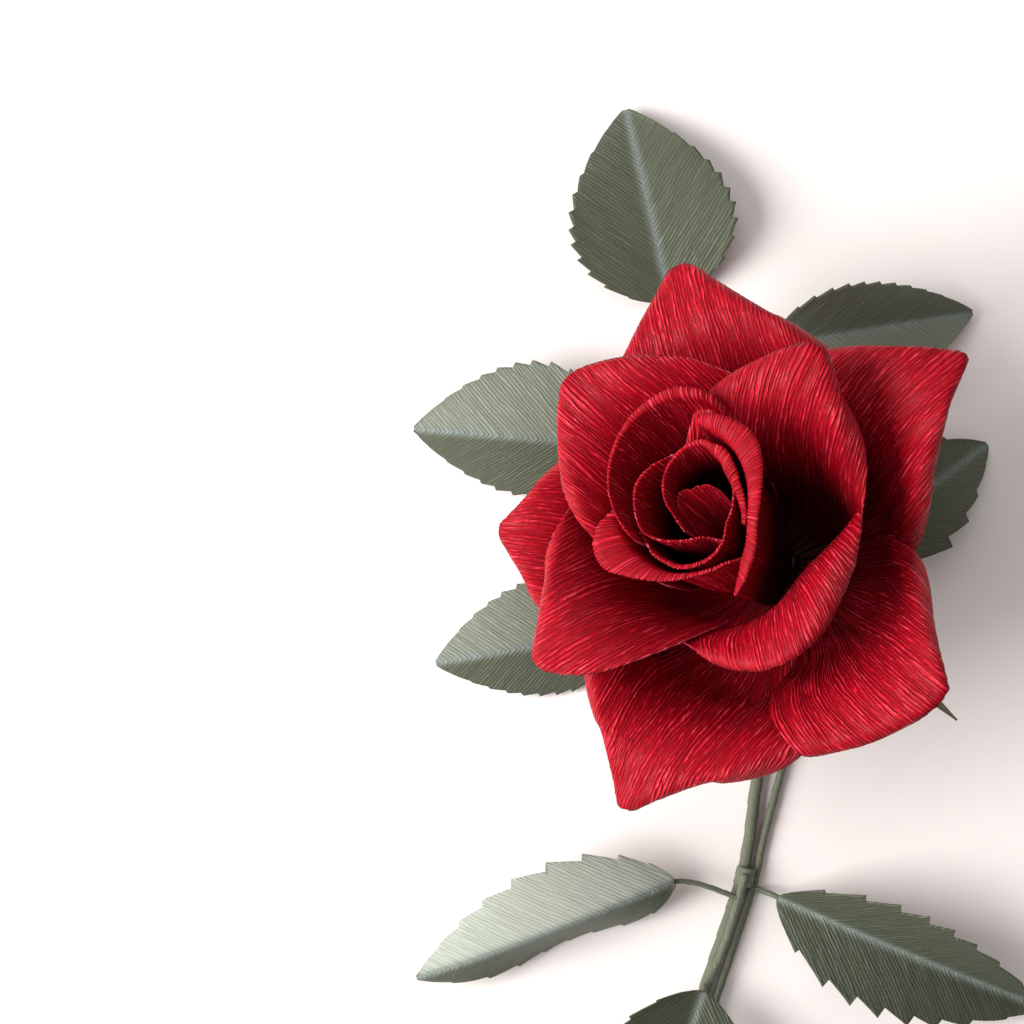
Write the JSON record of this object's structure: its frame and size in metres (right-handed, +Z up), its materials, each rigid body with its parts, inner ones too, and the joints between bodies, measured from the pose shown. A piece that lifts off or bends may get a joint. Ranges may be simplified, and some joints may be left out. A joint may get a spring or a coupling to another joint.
{
  "type": "crepe paper rose",
  "caption": "Single crepe paper rose with a high-centred bloom of overlapping rolled-back petals, taped wire stem and serrated compound leaves, lying with its neck bent so the bloom looks up",
  "frame": {"origin": "on the table under the middle of the whole rose's box", "axes": "+Z up from the table; +Y from the cut end of the stem towards the bloom; +X to the right when the bloom is seen from above with the stem at the bottom"},
  "size_m": [0.1258, 0.2598, 0.0701],
  "materials": {
    "petal_crepe": "matte crepe with a faint sheen along its ridges",
    "leaf_crepe": "matte, slightly waxed crepe",
    "sepal_crepe": "matte crepe",
    "green_tape": "waxed crepe floral tape, satin",
    "steel_wire": "cut end of a florist's stub wire",
    "cotton_core": "matte spun cotton"
  },
  "bodies": {
    "root": {"bud_petal_1": "petal_crepe", "bud_petal_2": "petal_crepe", "heart_petal": "petal_crepe", "inner_petal_1": "petal_crepe", "inner_petal_2": "petal_crepe", "inner_petal_3": "petal_crepe", "cup_petal_1": "petal_crepe", "cup_petal_2": "petal_crepe", "cup_petal_3": "petal_crepe", "middle_petal_1": "petal_crepe", "middle_petal_2": "petal_crepe", "middle_petal_3": "petal_crepe", "middle_petal_4": "petal_crepe", "outer_petal_1": "petal_crepe", "outer_petal_2": "petal_crepe", "outer_petal_3": "petal_crepe", "outer_petal_4": "petal_crepe", "outer_petal_5": "petal_crepe", "sepal_1": "sepal_crepe", "sepal_2": "sepal_crepe", "sepal_3": "sepal_crepe", "sepal_4": "sepal_crepe", "sepal_5": "sepal_crepe", "leaflet_top": "leaf_crepe", "leaflet_upper_left": "leaf_crepe", "leaflet_upper_right": "leaf_crepe", "leaflet_lower_right": "leaf_crepe", "leaflet_lower_left": "leaf_crepe", "leaflet_side_left": "leaf_crepe", "leaflet_side_right": "leaf_crepe", "leaflet_end": "leaf_crepe", "leaflet_top_wire": "green_tape", "leaflet_upper_left_wire": "green_tape", "leaflet_upper_right_wire": "green_tape", "leaflet_lower_right_wire": "green_tape", "leaflet_lower_left_wire": "green_tape", "leaflet_side_left_wire": "green_tape", "leaflet_side_right_wire": "green_tape", "leaflet_end_wire": "green_tape", "upper_leaf_rachis": "green_tape", "lower_leaf_rachis": "green_tape", "hip_wrap": "green_tape", "stem_tape": "green_tape", "stem_wire": "steel_wire", "bud_core": "cotton_core"}
  },
  "joints": []
}
